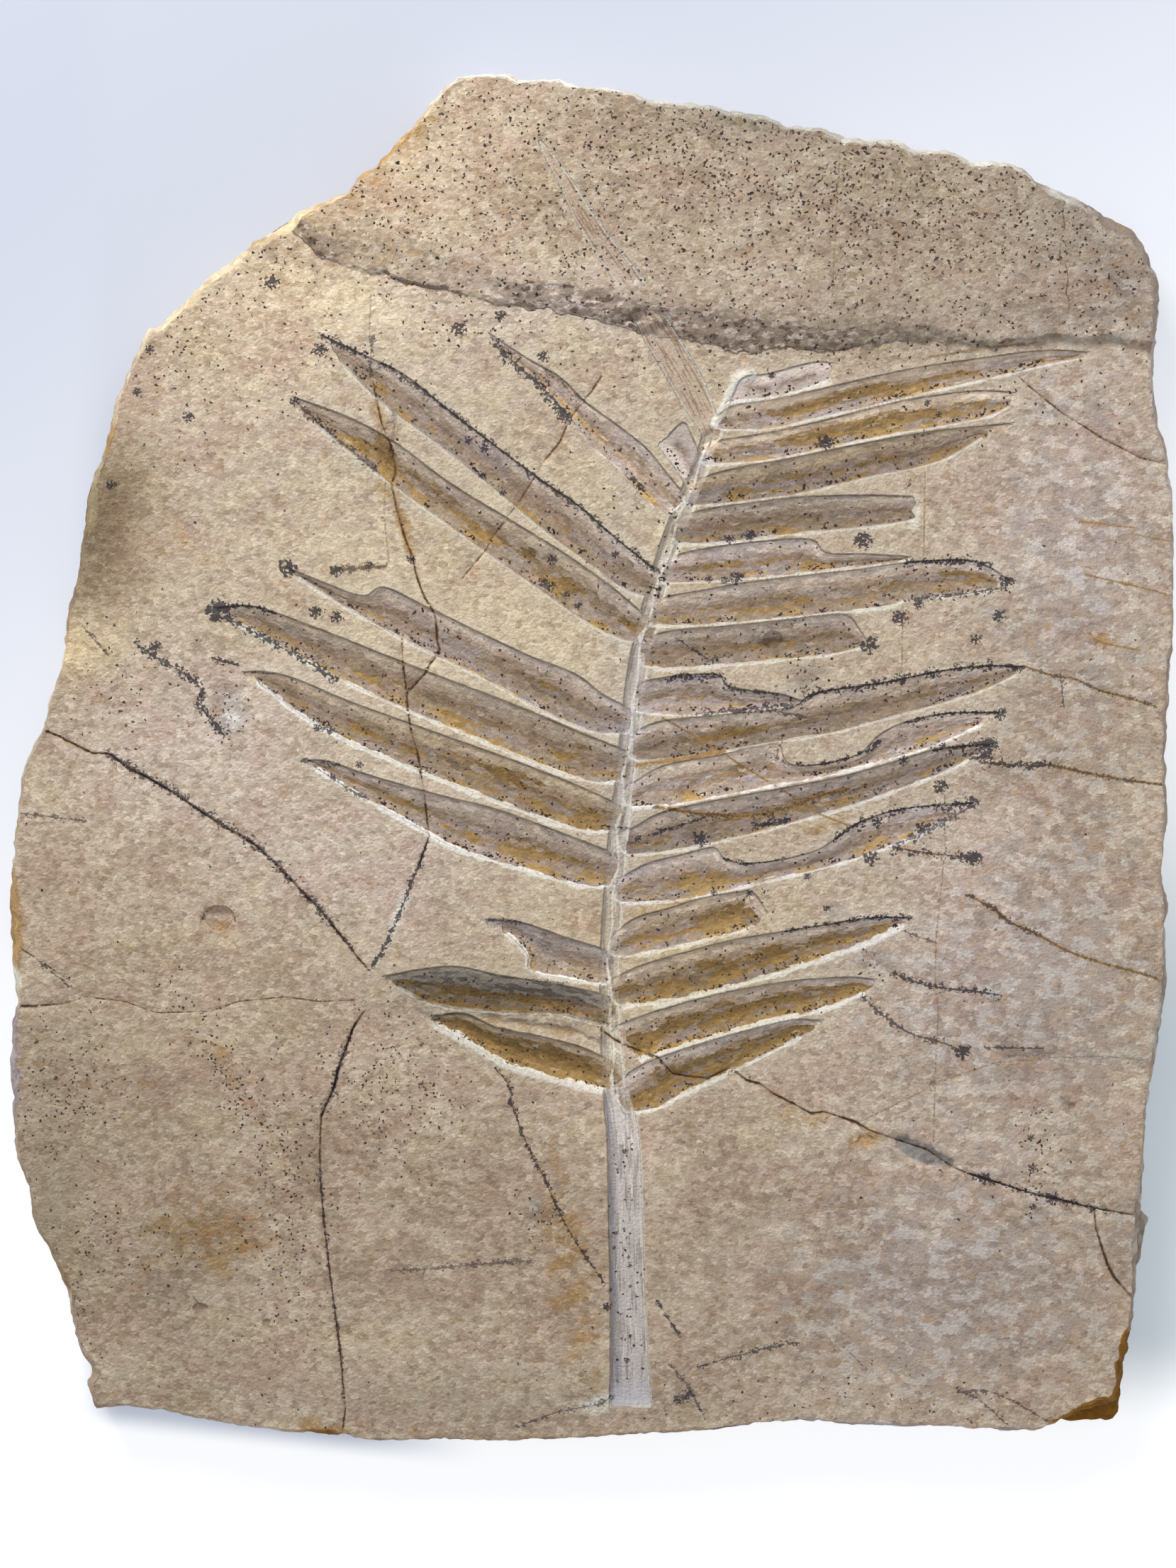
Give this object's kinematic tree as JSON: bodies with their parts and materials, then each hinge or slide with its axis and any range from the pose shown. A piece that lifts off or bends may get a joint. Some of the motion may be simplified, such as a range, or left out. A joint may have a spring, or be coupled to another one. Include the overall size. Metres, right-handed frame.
{
  "type": "fossil cycad leaf slab",
  "caption": "Slab of pale fine-grained limestone on its flat back, split open on the sunken print of a cycad leaf, with black dendrites, cracks and a higher layer along the top.",
  "frame": {"origin": "under the middle of the slab's box, on its flat back", "axes": "+Z out of the leaf's face (up as it lies), +Y from the leaf's stalk towards its tip, +X to the right of the leaf seen from its face"},
  "size_m": [0.3626, 0.425, 0.0181],
  "materials": {
    "limestone": "dry matte split stone, beige to pinkish brown with ochre stains"
  },
  "bodies": {
    "root": {"fossil_slab": "limestone"}
  },
  "joints": []
}
